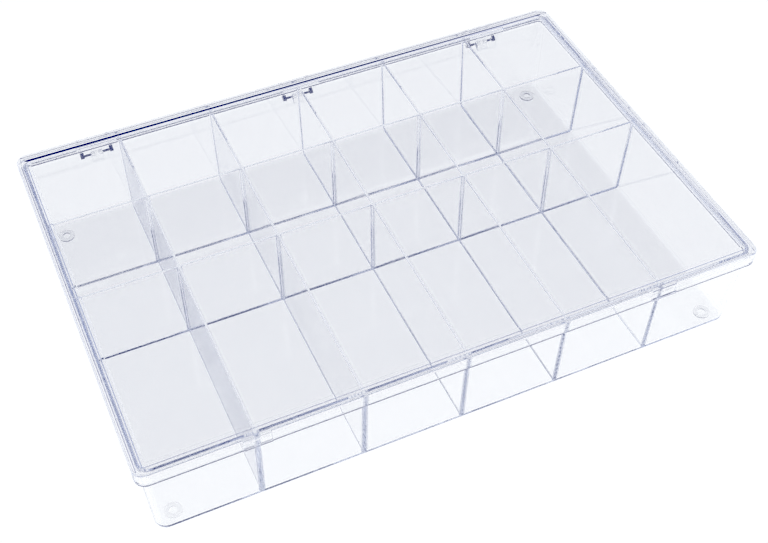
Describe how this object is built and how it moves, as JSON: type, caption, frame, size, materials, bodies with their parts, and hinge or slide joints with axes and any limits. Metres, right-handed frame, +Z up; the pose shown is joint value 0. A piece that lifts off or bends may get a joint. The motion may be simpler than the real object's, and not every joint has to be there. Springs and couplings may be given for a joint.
{
  "type": "parts sorting tray",
  "caption": "Clear compartment tray for sorting small parts, with a flat raised-rim lid that hinges along the long rear side and snaps shut at the front.",
  "frame": {"origin": "middle of the footprint, on the surface that the ring feet stand on", "axes": "+X along the long side, left to right seen from the latch side; +Y towards the hinged rear side; +Z up"},
  "size_m": [0.3334, 0.2298, 0.057],
  "materials": {
    "tray_clear_polystyrene": "gloss",
    "lid_clear_polystyrene": "gloss"
  },
  "bodies": {
    "tray": {"tray_floor": "tray_clear_polystyrene", "tray_front_wall": "tray_clear_polystyrene", "tray_rear_wall": "tray_clear_polystyrene", "tray_left_wall": "tray_clear_polystyrene", "tray_right_wall": "tray_clear_polystyrene", "tray_corner_front_left": "tray_clear_polystyrene", "tray_corner_front_right": "tray_clear_polystyrene", "tray_corner_rear_left": "tray_clear_polystyrene", "tray_corner_rear_right": "tray_clear_polystyrene", "long_divider_front": "tray_clear_polystyrene", "long_divider_rear": "tray_clear_polystyrene", "cross_divider_1": "tray_clear_polystyrene", "cross_divider_2": "tray_clear_polystyrene", "cross_divider_3": "tray_clear_polystyrene", "cross_divider_4": "tray_clear_polystyrene", "cross_divider_5": "tray_clear_polystyrene", "foot_front_left": "tray_clear_polystyrene", "foot_front_right": "tray_clear_polystyrene", "foot_rear_left": "tray_clear_polystyrene", "foot_rear_right": "tray_clear_polystyrene", "hinge_knuckle_left": "tray_clear_polystyrene", "hinge_knuckle_centre": "tray_clear_polystyrene", "hinge_knuckle_right": "tray_clear_polystyrene", "latch_catch_left": "tray_clear_polystyrene", "latch_catch_right": "tray_clear_polystyrene"},
    "lid": {"lid_panel": "lid_clear_polystyrene", "lid_rim_front": "lid_clear_polystyrene", "lid_rim_rear": "lid_clear_polystyrene", "lid_rim_left": "lid_clear_polystyrene", "lid_rim_right": "lid_clear_polystyrene", "lid_skirt_front": "lid_clear_polystyrene", "lid_skirt_rear": "lid_clear_polystyrene", "lid_skirt_left": "lid_clear_polystyrene", "lid_skirt_right": "lid_clear_polystyrene", "lid_corner_front_left": "lid_clear_polystyrene", "lid_corner_front_right": "lid_clear_polystyrene", "lid_corner_rear_left": "lid_clear_polystyrene", "lid_corner_rear_right": "lid_clear_polystyrene", "hinge_pegs_left": "lid_clear_polystyrene", "hinge_pegs_centre": "lid_clear_polystyrene", "hinge_pegs_right": "lid_clear_polystyrene", "latch_tab_left": "lid_clear_polystyrene", "latch_tab_right": "lid_clear_polystyrene"}
  },
  "joints": [
    {"name": "lid_hinge", "type": "hinge", "parent": "tray", "child": "lid", "pos_m": [0, 0.1134, 0.0446], "axis": [-1, 0, 0], "range_deg": [0, 180]}
  ]
}
